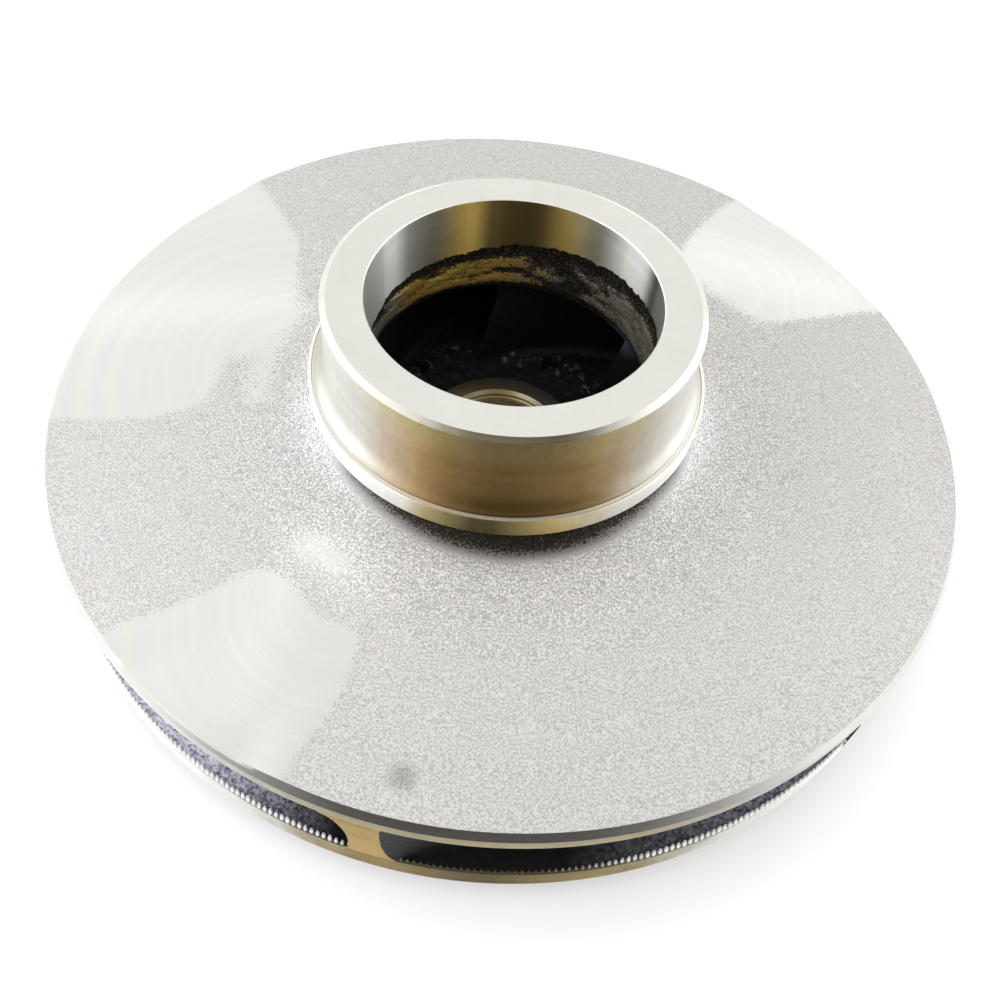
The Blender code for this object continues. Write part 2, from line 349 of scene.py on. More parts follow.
# Painted highlight on one vane's shoulder: a blue-grey patch with a bright glint in it.
vane_glint_gap = add(tree, "VectorMath DISTANCE", [place, PAINTED_VANE_GLINT_PLACE])
vane_patch_edge = add(tree, "Math MULTIPLY_ADD", [grain, 0.0020, vane_glint_gap])
painted_vane_patch = add(tree, "MapRange", [vane_patch_edge, *PAINTED_VANE_PATCH_R])
colour = add(tree, "Mix RGBA", {0: painted_vane_patch, 6: colour, 7: "#5C6078"})
painted_vane_glint = add(tree, "MapRange", [vane_glint_gap, *PAINTED_VANE_GLINT_R])
colour = add(tree, "Mix RGBA", {0: painted_vane_glint, 6: colour, 7: "#E0E6F4"})
bump = add(tree, "Bump", {"Height": grain, "Strength": 0.9, "Distance": CAST_GRAIN_DEPTH})
join(tree, shader, {"Base Color": colour, "Normal": bump, "Roughness": 0.6})

# The dents of the shot are drawn about as fine as they show.
BLAST_GRAIN = 0.00032
DENT_DEPTH = 0.00008
DENT_FIRMNESS = 0.1
DENT_CONTRAST = 2.4
MOTTLE_SIZE = 0.0111
BLASTED_METALLIC = 0.12
BLASTED_ROUGHNESS = 0.5


def blasted_skin(tree, place, dull, warm):
    """The dents that the shot left, the tone of each, which is lightest on the crests between them,
    a faint mottle, and the colour that it gives."""
    grain = add(tree, "TexNoise",
                {"Vector": place, "Scale": 1 / BLAST_GRAIN, "Detail": 1.0, "Roughness": 0.6})
    dents = add(tree, "MapRange", [grain, *NOISE_SPAN, 0.872, 1.098], clamp=False)
    crests = add(tree, "MapRange", [grain, 0.53, 0.70, 0, 0.12])
    tone = add(tree, "Math ADD", [dents, crests])
    mottle = add(tree, "TexNoise", {"Vector": place, "Scale": 1 / MOTTLE_SIZE, "Detail": 4.0})
    tint = add(tree, "Mix RGBA", {0: mottle, 6: dull, 7: warm})
    return grain, tone, mottle, tint


# Shot-blasted bronze: an even matt warm grey of fine dents, with a faint mottle.
blasted_bronze, tree, shader, place = new_finish("shot_blasted_bronze", BLASTED_METALLIC)
grain, dents, _, tint = blasted_skin(tree, place, "#B9B6B6", "#BDBAB4")
dented = add(tree, "Math POWER", [dents, DENT_CONTRAST])
shade = add(tree, "VectorMath SCALE", {0: tint, 3: dented})
bump = add(tree, "Bump", {"Height": grain, "Strength": DENT_FIRMNESS, "Distance": DENT_DEPTH})
join(tree, shader, {"Base Color": shade, "Normal": bump, "Roughness": BLASTED_ROUGHNESS})

TURNED, CAST, BLASTED = 0, 1, 2
profile = run((HUB_R - SEAM, REAR_FACE), (RIM_R - RIM_EDGE, REAR_FACE), 16, BLASTED)
profile += run((RIM_R, REAR_FACE + RIM_EDGE), (RIM_R, PASSAGE_FLOOR - RIM_EDGE), 8, TURNED)
profile += run((RIM_R - RIM_EDGE, PASSAGE_FLOOR), (HUB_R + FLOOR_FILLET, PASSAGE_FLOOR), 90, CAST)
for step in range(1, FLOOR_FILLET_STEPS):
    angle = math.radians(90 * step / FLOOR_FILLET_STEPS)
    profile.append((HUB_R + FLOOR_FILLET - FLOOR_FILLET * math.sin(angle) * FILLET_OVERLAP,
                    PASSAGE_FLOOR + FLOOR_FILLET * (1 - math.cos(angle)), CAST))
radii, heights, finishes = zip(*profile)
points = rings(radii, heights, BACK_AZIMUTHS)
rough = np.array([finish == CAST for finish in finishes])
rough = rough * np.clip((RIM_R - np.array(radii)) / SMOOTH_EDGE, 0, 1)
points[..., 2] += rough[:, None] * lumps(points, *FLOOR_SWELLS)
back_plate = closed_skin("back_shroud_casting", points, finishes,
                         [back_rim_bronze, cast_bronze, blasted_bronze])
finish_mesh(back_plate, 20)

drill_mesh = bpy.data.meshes.new("balance_drill")
drill_mesh.materials.append(rim_bronze)
drill_mesh.materials.append(cast_bronze)
bm = bmesh.new()
for index in range(VANE_COUNT):
    azimuth = BALANCE_AZIMUTH + math.tau * index / VANE_COUNT
    centre = Vector((math.cos(azimuth), math.sin(azimuth), 0)) * BALANCE_CIRCLE_R
    centre.z = (REAR_FACE + PASSAGE_FLOOR) / 2
    bmesh.ops.create_cone(bm, cap_ends=True, segments=40, radius1=BALANCE_HOLE_R, radius2=BALANCE_HOLE_R,
                          depth=DRILL_LENGTH, matrix=Matrix.Translation(centre))
for face in bm.faces:
    face.material_index = CAST
bm.to_mesh(drill_mesh)
bm.free()
drill = new_object("balance_drill", drill_mesh)
holes = back_plate.modifiers.new("balance_holes", "BOOLEAN")
holes.operation = "DIFFERENCE"
holes.object = drill
settle(back_plate)
bpy.data.objects.remove(drill)
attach(back_plate, "root")
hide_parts("back_shroud")


# Hub
# The boss for the shaft, cast with the back shroud. Its rear face, bore and nut seat are turned,
# and a shallow counterbore with a bright edge centres the nut's washer.

HUB_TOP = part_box("hub")[1].z
SHAFT_BORE_R = 0.0095
HUB_NECK_R = 0.0146
HUB_NECK_DRAFT = 0.0008
COUNTERBORE_R = 0.0110
COUNTERBORE_DEPTH = 0.0014
COUNTERBORE_CORNER = 0.0002
BORE_CORNER = 0.0003
HUB_CHAMFER = 0.0008
HUB_EDGE = 0.0006
HUB_AZIMUTHS = 240
NO_SIDE_SHEEN = (2.0, 3.0)

# Turned hub bronze: a dull brown-grey nut face, olive-gold walls and a bright broken edge.
hub_bronze = turned_metal(
    "turned_hub_bronze", gold=("#A08F50", "#B3A468"), pale=("#B5AC80", "#C4BC94"),
    edge=("#E2DCB8", "#F0EBD0"), face=("#D4C8BA", "#DED4C8"), gloss=(0.34, 0.42), side_sheen_from=NO_SIDE_SHEEN)

seat_z = HUB_TOP - COUNTERBORE_DEPTH
profile = run((SHAFT_BORE_R, seat_z), (SHAFT_BORE_R, HUB_EDGE), 18, TURNED)
profile += run((SHAFT_BORE_R + HUB_EDGE, 0.0), (HUB_R - HUB_CHAMFER, 0.0), 8, TURNED)
profile += run((HUB_R, HUB_CHAMFER), (HUB_R, REAR_FACE + 0.001), 8, TURNED)
profile += [(HUB_R - 0.0004, PASSAGE_FLOOR + 0.0005, CAST),
            (HUB_NECK_R + HUB_NECK_DRAFT, PASSAGE_FLOOR + FLOOR_FILLET * 0.8, CAST),
            (HUB_NECK_R + 0.0003, HUB_TOP - 0.0008, CAST),
            (HUB_NECK_R + 0.0002, HUB_TOP - 0.0002, TURNED)]
profile += run((HUB_NECK_R, HUB_TOP), (COUNTERBORE_R + HUB_EDGE, HUB_TOP), 8, TURNED)
profile += run((COUNTERBORE_R, HUB_TOP - HUB_EDGE), (COUNTERBORE_R, seat_z + COUNTERBORE_CORNER), 4, TURNED)
profile += run((COUNTERBORE_R - COUNTERBORE_CORNER, seat_z), (SHAFT_BORE_R + BORE_CORNER, seat_z), 4, TURNED)
radii, heights, finishes = zip(*profile)
points = rings(radii, heights, HUB_AZIMUTHS)
hub = closed_skin("hub_casting", points, finishes, [hub_bronze, cast_bronze])
finish_mesh(hub)
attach(hub, "root")
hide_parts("hub")


# Vanes
# Six backward-swept blades, cast between the shrouds with a fillet along floor and roof. Their
# outer ends are turned flush with the rim, which leaves a gold face in each slot.

SHROUD_EDGE = 0.0241
INSIDE_SLOPE = 0.0844
THROAT_R = 0.0246
THROAT_FLARE = 0.0040
THROAT_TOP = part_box("eye_ring")[0].z - SEAM
VANE_NOSE_R = 0.0248
VANE_NOSE_RAKE = 0.0020
VANE_NOSE_LENGTH = 0.0030
VANE_NOSE_AZIMUTH = math.radians(39.5)
VANE_ROOT = 0.0006
VANE_END_R = RIM_R - 0.00001
INLET_COT = 1 / math.tan(math.radians(28.0))
OUTLET_COT = 1 / math.tan(math.radians(23.0))
NOSE_THICKNESS = 0.0026
BODY_THICKNESS = 0.0032
TIP_THICKNESS = 0.0019
VANE_FILLET = 0.0016
OUTLET_FROM = 0.75
VANE_STATIONS = 90
VANE_LEVELS = 22
END_COLUMNS = 6

# How much wider and how much longer the fillets grow by the rim, on the vane's left and right.
ROOF_GROWTH = {"left": (0.0001, 0.0062), "right": (-0.0015, -0.0006)}
FLOOR_GROWTH = {"left": (-0.0012, -0.0010), "right": (-0.0007, 0.0070)}

# Turned vane ends: tan gold, plainer and yellower than the rim, and pale toward the sides, a painted
# reflection.
vane_end_bronze = turned_metal(
    "turned_vane_end_bronze", gold=("#CEB072", "#E0C686"), pale=("#E2E0D4", "#EAE8DE"),
    edge=("#CEB072", "#E0C686"), face=("#D2D1C8", "#DAD9D0"), side_sheen_from=(0.26, 0.60))


def roof_height(radius):
    """Height of the passages' roof, the inner skin of the front shroud."""
    cone = SHROUD_EDGE + INSIDE_SLOPE * (RIM_R - radius)
    flare = THROAT_TOP - (SHROUD_EDGE + INSIDE_SLOPE * (RIM_R - THROAT_R))
    return cone + flare * np.exp(-(radius - THROAT_R) / THROAT_FLARE)


def fillet(gap, growth, outlet):
    """How far a cast fillet stands out, at this gap from the corner that it fills."""
    width, reach = (VANE_FILLET + outlet * grown for grown in growth)
    left = np.clip(1 - gap / reach, 0, 1)
    return width * (1 - np.sqrt(1 - left**2))


def vane_side(radius, nose_r, floor_gap, roof_gap, side):
    """Half the vane's width in radians, with the fillets of one side."""
    share = math.log(radius / VANE_NOSE_R) / math.log(RIM_R / VANE_NOSE_R)
    cotangent = INLET_COT + (OUTLET_COT - INLET_COT) * share
    sine = 1 / math.sqrt(1 + cotangent**2)
    thickness = np.interp(share, [0, 0.4, 1], [NOSE_THICKNESS, BODY_THICKNESS, TIP_THICKNESS])
    past_nose = min((radius - nose_r) / VANE_NOSE_LENGTH, 1.0)
    rounding = max(math.sqrt(1 - (1 - past_nose) ** 2), 0.02)
    outlet = max(0.0, (share - OUTLET_FROM) / (1 - OUTLET_FROM))
    spread = fillet(roof_gap, ROOF_GROWTH[side], outlet) + fillet(floor_gap, FLOOR_GROWTH[side], outlet)
    return rounding * (thickness / 2 + spread) / (radius * sine)


for index in range(VANE_COUNT):
    bm = bmesh.new()
    loops = []
    for station in range(VANE_STATIONS + 1):
        along = (station / VANE_STATIONS) ** 1.4
        sides = ([], [])
        for level in range(VANE_LEVELS + 1):
            up = (1 - math.cos(math.pi * level / VANE_LEVELS)) / 2
            nose_r = VANE_NOSE_R + VANE_NOSE_RAKE * up
            radius = nose_r + (VANE_END_R - nose_r) * along
            roof = float(roof_height(radius))
            height = PASSAGE_FLOOR - VANE_ROOT + (roof - PASSAGE_FLOOR + 2 * VANE_ROOT) * up
            gaps = max(height - PASSAGE_FLOOR, 0), max(roof - height, 0)
            travel = math.log(radius / VANE_NOSE_R)
            whole = math.log(RIM_R / VANE_NOSE_R)
            turn = INLET_COT * travel + (OUTLET_COT - INLET_COT) * travel**2 / (2 * whole)
            centre = VANE_NOSE_AZIMUTH + math.tau * index / VANE_COUNT - turn
            for points, side, sign in zip(sides, ("right", "left"), (1, -1)):
                points.append((radius, centre + sign * vane_side(radius, nose_r, *gaps, side), height))
        loops.append(sides)
    grid = []
    for right, left in loops:
        grid.append([bm.verts.new((r * math.cos(a), r * math.sin(a), z)) for r, a, z in right + left[::-1]])
    for here, there in zip(grid, grid[1:]):
        for i in range(len(here)):
            j = (i + 1) % len(here)
            bm.faces.new((here[i], here[j], there[j], there[i])).material_index = CAST
    for (right, left), finish in ((loops[0], CAST), (loops[-1], TURNED)):
        columns = []
        for (r, a, z), (_, b, _) in zip(right, left):
            steps = np.linspace(a, b, END_COLUMNS + 1)
            columns.append([bm.verts.new((r * math.cos(s), r * math.sin(s), z)) for s in steps])
        for low, high in zip(columns, columns[1:]):
            for i in range(END_COLUMNS):
                bm.faces.new((low[i], low[i + 1], high[i + 1], high[i])).material_index = finish
    bmesh.ops.remove_doubles(bm, verts=bm.verts, dist=1e-6)
    mesh = bpy.data.meshes.new(f"vane_casting_{index + 1}")
    bm.to_mesh(mesh)
    bm.free()
    mesh.materials.append(vane_end_bronze)
    mesh.materials.append(cast_bronze)
    vane = new_object(mesh.name, mesh)
    finish_mesh(vane)
    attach(vane, "root")
    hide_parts(f"vane_{index + 1}")


# Front shroud
# The shallow cone that roofs the passages and flares up into the suction neck, cast with the rest
# and shot-blasted. Three places are ground down by hand to balance it, and its rim is turned.

RIM_TOP = 0.0282
RIM_CHAMFER_WIDTH = 0.0008
CHAMFER_R = RIM_R - RIM_CHAMFER_WIDTH
RIM_CHAMFER_HEIGHT = 0.0016
OUTSIDE_SLOPE = 0.052
FLARE_R = 0.0338
FLARE_LENGTH = 0.0035
NECK_UNDERCUT = 0.0010
FRONT_AZIMUTHS = 720
BLAST_SWELLS = (0.00003, 0.007, 21)
SMUDGE_PLACE = (-0.0122, -0.0723, 0.0288)
SMUDGE_R = (0.0046, 0.0020)
HARSH_R = (0.057, 0.042)
NECK_DENT_CONTRAST = 3.7
FLARE_SHINE_R = (0.0405, 0.0362)
GRIND_DEPTH = 0.00085

# The ground places are laid out in millimetres, and so are these.
SCRATCH_PITCH = 0.455
SCRATCH_BAND = 2.5
GRIND_SLOPE_WIDTH = 9.0
GRIND_FROM_R = 50
GRIND_FULL_R = 79
GRAINY_EDGE = 5.0
GRAINY_EDGE_BY_NECK = 18.0
GRAINY_NECK_R = 56
GRAINY_NECK_FADE = 14
SWELLS_END_R = 78.5

# A line that the grinder only touched, with a painted highlight along it, and a painted shadow in
# the corner under the neck, thickest on the side that it faces.
TOUCHED_LINE = ((-29.3, -36.0), (-17.3, -43.0))
TOUCHED_WIDTH = 5.5
TOUCHED_END_X = -13
TOUCHED_FADE = 12
PAINTED_SHADOW_FACING = math.radians(-85)
PAINTED_SHADOW_REACH = 3.0
PAINTED_SHADOW_FADE = 2.8

# The ground places, seen from above. Each outline runs out past the rim. A place's tone is its
# painted brightness, a painted reflection. A glint is a painted highlight, a line where the grinding
# shines, with its half width and how much lighter it is.
GROUND_PLACES = [
    {
        "outline": [
            (-57.8, -51.6), (-55.8, -50.4), (-50.0, -47.7), (-46.1, -45.6), (-42.7, -43.4), (-39.2, -40.9),
            (-36.7, -40.1), (-33.8, -40.5), (-31.3, -42.2), (-28.5, -45.9), (-25.9, -48.3), (-23.3, -48.7),
            (-21.2, -49.8), (-20.2, -51.0), (-20.3, -55.1), (-21.3, -60.0), (-23.2, -64.2), (-25.6, -68.1),
            (-27.5, -72.5), (-40.0, -103.0), (-63.0, -90.0), (-82.0, -73.0)],
        "arc_centre": (-23.7, -44.9),
        "tone": 0.97,
        "painted_glint": ((-34.3, -40.3), (-36.4, -62.3), 5.0, 0.06),
    },
    {
        "outline": [
            (-77.8, -11.8), (-71.1, -11.8), (-62.5, -11.2), (-58.3, -10.4), (-54.3, -8.6), (-51.2, -6.7),
            (-50.2, -2.6), (-49.2, 3.7), (-46.4, 3.7), (-46.1, -5.4), (-47.8, -6.1), (-43.0, -8.4),
            (-40.3, -6.1), (-40.2, -1.4), (-40.0, 3.6), (-38.6, 10.1), (-35.8, 17.0), (-38.9, 21.6),
            (-40.2, 30.6), (-41.8, 38.5), (-46.0, 46.7), (-50.2, 53.5), (-52.6, 57.4), (-74.0, 81.0),
            (-95.0, 55.0), (-108.0, 19.0), (-108.0, -16.0)],
        "arc_centre": (-38.0, 4.0),
        "tone": 0.94,
        "painted_glint": ((-41.0, 19.9), (-77.3, 15.8), 8.0, 0.10),
    },
    {
        "outline": [
            (48.5, 62.0), (44.1, 57.7), (40.0, 51.5), (36.6, 46.2), (34.5, 41.0), (35.5, 35.0),
            (39.0, 29.9), (44.4, 25.4), (48.0, 22.5), (52.7, 22.9), (56.8, 24.3), (63.0, 26.1),
            (69.4, 28.2), (74.0, 29.1), (102.0, 40.0), (88.0, 66.0), (68.0, 87.0)],
        "arc_centre": (40.0, 32.0),
        "tone": 1.00,
        "painted_glint": ((42.0, 40.0), (66.0, 34.0), 9.0, 0.14),
    },
]


def outside_height(radius):
    """Height of the front shroud's outer skin."""
    flare = THROAT_TOP - (RIM_TOP + OUTSIDE_SLOPE * (CHAMFER_R - FLARE_R))
    return RIM_TOP + OUTSIDE_SLOPE * (CHAMFER_R - radius) + flare * np.exp(-(radius - FLARE_R) / FLARE_LENGTH)


def line_gap(x, y, start, end):
    """Distance from a straight line between two points."""
    (ax, ay), (bx, by) = start, end
    dx, dy = bx - ax, by - ay
    share = np.clip(((x - ax) * dx + (y - ay) * dy) / (dx * dx + dy * dy), 0, 1)
    return np.hypot(x - ax - share * dx, y - ay - share * dy)


def depth_inside(x, y, outline):
    """Distance in from an outline's edge, and below zero outside it."""
    nearest = np.full(x.shape, 1e9)
    within = np.zeros(x.shape, bool)
    for (ax, ay), (bx, by) in zip(outline, outline[1:] + outline[:1]):
        nearest = np.minimum(nearest, line_gap(x, y, (ax, ay), (bx, by)))
        if ay != by:
            within ^= ((ay > y) != (by > y)) & (x < (bx - ax) * (y - ay) / (by - ay) + ax)
    return np.where(within, nearest, -nearest)


# Blasted and ground bronze: matt grey dents, and off-white ground places with fine curved
# scratches, each with a painted brightness and glint. Grains are left dark along a place's fuzzy
# edge, where the grinder only skimmed them. By the neck the dents are harsher and the metal
# shinier. The skin is painted lighter toward the front left and darker toward the back right as
# painted shade, has a painted shadow under the neck and a painted highlight along the touched
# line, and has one small grey smudge.
ground_bronze, tree, shader, place = new_finish("shot_blasted_and_ground_bronze", 1.0)
depth, fuzz, tone, arc, touch, corner = (
    add(tree, "Attribute", attribute_name=name).outputs["Fac"] for name in
    ("ground_depth", "ground_fuzz", "ground_painted_light", "ground_arc", "ground_touch", "painted_neck_shadow"))
split, _, radius = from_shaft(tree, place)
grain, dents, mottle, tint = blasted_skin(tree, place, "#B9B6B4", "#BDBAB4")
harsh = add(tree, "MapRange", [radius, *HARSH_R, DENT_CONTRAST, NECK_DENT_CONTRAST])
dented = add(tree, "Math POWER", [dents, harsh])
# Painted shade: lighter toward the front left, darker toward the back right.
slant = add(tree, "Math MULTIPLY_ADD", [split["X"], 0.25, split["Y"]])
painted_shade_drift = add(tree, "MapRange", [slant, -0.060, 0.070, 1.04, 0.89])
dents_and_painted_shade = add(tree, "Math MULTIPLY", [dented, painted_shade_drift])
shade = add(tree, "VectorMath SCALE", {0: tint, 3: dents_and_painted_shade})

smudge_gap = add(tree, "VectorMath DISTANCE", [place, SMUDGE_PLACE])
smudge_edge = add(tree, "Math MULTIPLY_ADD", [mottle, 0.0030, smudge_gap])
smudged = add(tree, "MapRange SMOOTHSTEP", [smudge_edge, *SMUDGE_R])
smear = add(tree, "Mix RGBA", {0: smudged, 6: "#FFFFFF", 7: "#CED6D2"})
shade = add(tree, "VectorMath MULTIPLY", [shade, smear])
# Painted shadow in the corner under the neck, with a grainy edge.
specked = add(tree, "Math MULTIPLY_ADD", [grain, 1.6, -0.8])
shadow_edge = add(tree, "Math ADD", [corner, specked])
painted_shadow = add(tree, "MapRange", [shadow_edge, 0.1, 0.9])
shade = add(tree, "Mix RGBA", {0: painted_shadow, 6: shade, 7: "#30281E"})

edge_grain = add(tree, "Math SUBTRACT", [grain, 0.5])
edge_shift = add(tree, "Math MULTIPLY", [edge_grain, fuzz])
edge = add(tree, "Math ADD", [depth, edge_shift])
inside = add(tree, "MapRange", [edge, -0.35, 0.35])
touched = add(tree, "MapRange", [touch, 0.70, 1.20])
ground = add(tree, "Math ADD", [inside, touched], use_clamp=True)
wobble = add(tree, "Math MULTIPLY_ADD", [mottle, 2.5, arc])
broad = add(tree, "TexNoise 1D", {"W": wobble, "Scale": 1 / SCRATCH_BAND, "Detail": 1.0})
warmed = add(tree, "MapRange", [broad, 0.35, 0.65])
polish = add(tree, "Mix RGBA", {0: warmed, 6: "#CACAC6", 7: "#CECDC6"})
scratches = add(tree, "TexNoise 1D", {"W": wobble, "Scale": 1 / SCRATCH_PITCH, "Detail": 3.0})
scored = add(tree, "MapRange", [scratches, *NOISE_SPAN, 0.98, 1.015])
polish = add(tree, "VectorMath SCALE", {0: polish, 3: scored})
# The places' painted brightness and glints.
polish = add(tree, "VectorMath SCALE", {0: polish, 3: tone})
colour = add(tree, "Mix RGBA", {0: ground, 6: shade, 7: polish})
# Painted highlight along the touched line.
painted_touch_glow = add(tree, "Math MULTIPLY_ADD", [touch, 0.22, 1.0])
colour = add(tree, "VectorMath SCALE", {0: colour, 3: painted_touch_glow})

flare_shine = add(tree, "MapRange", [radius, *FLARE_SHINE_R, BLASTED_METALLIC, 0.75])
metal = add(tree, "Mix", {0: ground, 2: flare_shine, 3: 0.4})
gloss = add(tree, "MapRange", [ground, 0, 1, BLASTED_ROUGHNESS, 0.38])
relief = add(tree, "Mix", {0: ground, 2: grain, 3: scratches})
firmness = add(tree, "MapRange", [ground, 0, 1, DENT_FIRMNESS, DENT_FIRMNESS / 2])
bump = add(tree, "Bump", {"Height": relief, "Strength": firmness, "Distance": DENT_DEPTH})
join(tree, shader, {"Base Color": colour, "Metallic": metal, "Roughness": gloss, "Normal": bump})

GROUND = 2
OUTSIDE_ROWS = 70
foot_r = FLARE_R - NECK_UNDERCUT
outside_radii = foot_r + (CHAMFER_R - foot_r) * np.linspace(0, 1, OUTSIDE_ROWS) ** 1.3
roof_radii = THROAT_R + (RIM_R - RIM_EDGE - THROAT_R) * np.linspace(1, 0, 32) ** 1.5
profile = [(r, float(outside_height(r)), GROUND) for r in outside_radii]
profile[0] = (foot_r, THROAT_TOP + 0.0005, GROUND)
profile[-1] = (*profile[-1][:2], TURNED)
profile += [(RIM_R - RIM_CHAMFER_WIDTH / 2, RIM_TOP - RIM_CHAMFER_HEIGHT / 2, TURNED)]
profile += run((RIM_R, RIM_TOP - RIM_CHAMFER_HEIGHT), (RIM_R, SHROUD_EDGE + RIM_EDGE), 5, TURNED)
profile += [(r, float(roof_height(r)), CAST) for r in roof_radii]
radii, heights, finishes = zip(*profile)
points = rings(radii, heights, FRONT_AZIMUTHS)

x, y = points[..., 0] * 1000, points[..., 1] * 1000
radius_map = np.hypot(x, y)
depths = np.stack([depth_inside(x, y, place["outline"]) for place in GROUND_PLACES])
nearest = depths.argmax(0)
depth_map = depths.max(0)
# Each place's painted brightness, with its painted glint.
arcs, painted_light_maps = [], []
for place in GROUND_PLACES:
    centre_x, centre_y = place["arc_centre"]
    arcs.append(np.hypot(x - centre_x, y - centre_y))
    start, end, half_width, gain = place["painted_glint"]
    painted_light_maps.append(place["tone"] + gain * np.exp(-((line_gap(x, y, start, end) / half_width) ** 2)))
by_neck = np.clip((GRAINY_NECK_R - radius_map) / GRAINY_NECK_FADE, 0, 1)
turn = np.linspace(0, math.tau, FRONT_AZIMUTHS, endpoint=False)
# The painted shadow under the neck: where it lies and how far it reaches.
facing = np.clip(np.cos(turn - PAINTED_SHADOW_FACING), 0, 1) ** 3.8
shadow_r = FLARE_R * 1000 + PAINTED_SHADOW_REACH * facing + PAINTED_SHADOW_FADE / 2
touch_map = np.exp(-((line_gap(x, y, *TOUCHED_LINE) / TOUCHED_WIDTH) ** 2))
maps = {
    "ground_depth": depth_map,
    "ground_fuzz": GRAINY_EDGE + (GRAINY_EDGE_BY_NECK - GRAINY_EDGE) * by_neck,
    "ground_painted_light": np.choose(nearest, painted_light_maps),
    "ground_arc": np.choose(nearest, arcs),
    "ground_touch": touch_map * np.clip((TOUCHED_END_X - x) / TOUCHED_FADE, 0, 1),
    "painted_neck_shadow": np.clip(facing * 6, 0, 1) * np.clip((shadow_r - radius_map) / PAINTED_SHADOW_FADE, 0, 1),
}

top = np.arange(len(radii)) < OUTSIDE_ROWS + 1
inward = np.clip(depth_map / GRIND_SLOPE_WIDTH, 0, 1)
outward = np.clip((radius_map - GRIND_FROM_R) / (GRIND_FULL_R - GRIND_FROM_R), 0, 1)
cut = GRIND_DEPTH * inward**2 * (3 - 2 * inward) * outward**2
surface = outside_height(np.minimum(points[..., :2] ** 2 @ [1, 1], 1) ** 0.5)
lowered = np.minimum(points[..., 2], surface - cut)
swells = lumps(points, BLAST_SWELLS) * (depth_map < 0) * (radius_map < SWELLS_END_R)
points[..., 2] = np.where(top[:, None], lowered + swells, points[..., 2])
front_plate = closed_skin("front_shroud_casting", points, finishes, [rim_bronze, cast_bronze, ground_bronze])
for name, values in maps.items():
    attribute = front_plate.data.attributes.new(name, "FLOAT", "POINT")
    attribute.data.foreach_set("value", values.ravel().astype(np.float32))
finish_mesh(front_plate, 20)
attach(front_plate, "root")
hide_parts("front_shroud")


# Suction neck
# The ring that runs in the casing's wear ring, cast with the front shroud and turned bright, with a
# cove and a small grooved lip at its foot. The bore tool stops short, so a band of dark casting with
# skimmed high spots is left below.

RING_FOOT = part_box("eye_ring")[0].z
LIP_R, _, EYE_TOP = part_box("eye_ring")[1]
RING_R = 0.0312
RING_CHAMFER_WIDTH = 0.0010
RING_CHAMFER_HEIGHT = 0.0005
LIP_HEIGHT = 0.0036
LIP_EDGE = 0.00015
LIP_LAND = 0.0005
GROOVE_WIDTH = 0.0004
GROOVE_DEPTH = 0.00016
COVE_R = 0.0028
COVE_STEPS = 10
COVE_START = 248
COVE_TURN = 66
EYE_BORE_R = 0.0242
BORE_EDGE = 0.00015
BAND_RECESS = 0.0006
BAND_STEP = 0.00015
BAND_TUCK = 0.0004
SKIM_RECESS = 0.0002
RING_AZIMUTHS = 480
BORE_ROWS = 12
BAND_ROWS = 26

# Where the bore tool stopped: azimuth in degrees and height in millimetres.
TOOL_STOP = [(-180, 38.0), (-150, 38.8), (-90, 42.0), (-40, 45.0), (0, 45.8), (24, 44.8), (55, 44.2),
             (73, 43.4), (82, 43.2), (88, 42.9), (93, 42.3), (108, 41.5), (127, 41.0), (147, 40.7),
             (155, 40.1), (166, 38.9), (180, 38.0)]
TOOL_STOP_SWELLS = ((0.00010, 0.005, 31), (0.00010, 0.0012, 32), (0.00008, 0.0007, 35))
BAND_SWELLS = ((0.00009, 0.006, 33), (0.00005, 0.0025, 34))

# Turned neck bronze: brown-gold at front and back and pale toward the sides, a painted reflection, with
# painted shade darkening the front and back and the foot.
neck_bronze = turned_metal(
    "turned_neck_bronze", gold=("#C0AC74", "#DCC894"), pale=("#C4C1B8", "#CECCC3"),
    face=("#C8C7C0", "#CECDC7"), side_sheen_from=(0.40, 0.92),
    foot=(("#BC9A62", "#CEAC76"), 0.0505, 0.0455, 0.04), front=(0.66, 0.05, 0.45, 0.0))

# Turned lip bronze: dull olive gold at front and back and bright to the sides, a painted reflection, with
# painted shade darkening it strongly right at front and back.
lip_bronze = turned_metal(
    "turned_lip_bronze", gold=("#E6CC84", "#F2DE9C"), pale=("#F8F8F0", "#FFFFFA"),
    face=("#E6E0C6", "#F0ECD8"), side_sheen_from=(0.30, 0.60), front=(0.17, 0.05, 0.36, 0.09), metallic=0.65)

# Turned neck edge: the ring's chamfer, a duller brown-grey than the wall at front and back and pale to the
# sides, a painted reflection.
neck_edge_bronze = turned_metal(
    "turned_neck_edge_bronze", gold=("#968B6E", "#A69B7E"), pale=("#D4D2C8", "#DCDAD2"),
    edge=("#968B6E", "#A69B7E"), face=("#C8C7C0", "#CECDC7"), side_sheen_from=(0.22, 0.60))

# Bored bronze: a wall with broad painted columns, painted reflections and highlights, grey at the sides and
# gold at front and back, also painted reflection.
BORE_PAINTED_COLUMNS = [(10, 0.28), (17, 0.20), (23, 1.0), (31, 1.30), (40, 0.95), (47, 0.56), (53, 0.36),
                (64, 0.60), (71, 0.48), (78, 0.17), (88, 0.12), (96, 0.20), (101, 0.36), (107, 1.0),
                (113, 0.80), (121, 0.38), (131, 0.34), (140, 0.60), (149, 1.33), (157, 0.90), (170, 0.62)]
bored_bronze = turned_metal(
    "bored_bronze", gold=("#DDB95E", "#E6C874"), pale=("#E8E8DC", "#F0F0E6"),
    edge=("#C9C8BE", "#D8D7CE"), face=("#C9C8BC", "#D2D1C8"), gloss=(0.36, 0.42), side_sheen_from=(0.42, 0.80),
    columns=BORE_PAINTED_COLUMNS, metallic=0.5)

